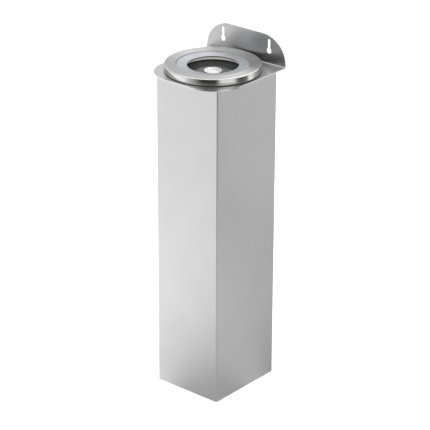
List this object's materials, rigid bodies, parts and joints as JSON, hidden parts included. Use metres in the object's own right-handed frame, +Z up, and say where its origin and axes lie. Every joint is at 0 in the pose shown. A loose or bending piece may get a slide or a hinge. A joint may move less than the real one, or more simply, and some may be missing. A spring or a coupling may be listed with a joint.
{
  "type": "wall ashtray bin",
  "caption": "Slim wall-hung ashtray bin: a folded steel column with a round ring top, a stub-out disc over a baffle dome, and a lift-out liner.",
  "frame": {"origin": "on the head ring's axis, at the column's bottom edge", "axes": "+Z up, -Y to the front, +Y to the wall, +X to the right seen from the front"},
  "size_m": [0.128, 0.131, 0.469],
  "materials": {
    "satin_steel": "satin, fine vertical grain",
    "turned_steel": "circular brushed, with a polished outer edge",
    "dish_steel": "pale, finely blasted",
    "inner_steel": "mill finish",
    "liner_steel": "galvanised",
    "zinc_fasteners": "zinc plated",
    "gasket_rubber": "matt black",
    "black_baffle": "black, semi-matt",
    "polished_disc": "bright satin"
  },
  "bodies": {
    "housing": {"column_shell": "satin_steel", "seam_strip": "inner_steel", "seam_rivet_1": "zinc_fasteners", "seam_rivet_2": "zinc_fasteners", "seam_rivet_3": "zinc_fasteners", "seam_rivet_4": "zinc_fasteners", "seam_rivet_5": "zinc_fasteners", "seam_rivet_6": "zinc_fasteners", "base_plate": "inner_steel", "top_bracket": "satin_steel", "gusset_front_left": "inner_steel", "gusset_front_right": "inner_steel", "gusset_back_left": "inner_steel", "gusset_back_right": "inner_steel", "bracket_screw_1": "zinc_fasteners", "bracket_screw_2": "zinc_fasteners", "bracket_screw_3": "zinc_fasteners", "bracket_screw_4": "zinc_fasteners", "bracket_nut_1": "zinc_fasteners", "bracket_nut_2": "zinc_fasteners", "bracket_nut_3": "zinc_fasteners", "bracket_nut_4": "zinc_fasteners"},
    "liner": {"liner_tube": "liner_steel", "liner_base": "liner_steel"},
    "head": {"head_ring": "turned_steel", "gasket": "gasket_rubber", "dish": "dish_steel", "locating_skirt": "inner_steel", "carrier_ring": "inner_steel", "spider": "inner_steel", "spider_screw_1": "zinc_fasteners", "spider_screw_2": "zinc_fasteners", "spider_screw_3": "zinc_fasteners", "baffle_dome": "black_baffle", "spacer_sleeve": "zinc_fasteners", "stud_washer": "zinc_fasteners", "stud_nut": "zinc_fasteners", "stub_disc": "polished_disc"}
  },
  "joints": [
    {"name": "liner_lift", "type": "slide", "parent": "housing", "child": "liner", "axis": [0, 0, 1], "range_m": [0, 0.44]},
    {"name": "head_lift", "type": "slide", "parent": "liner", "child": "head", "axis": [0, 0, 1], "range_m": [0, 0.08]}
  ]
}
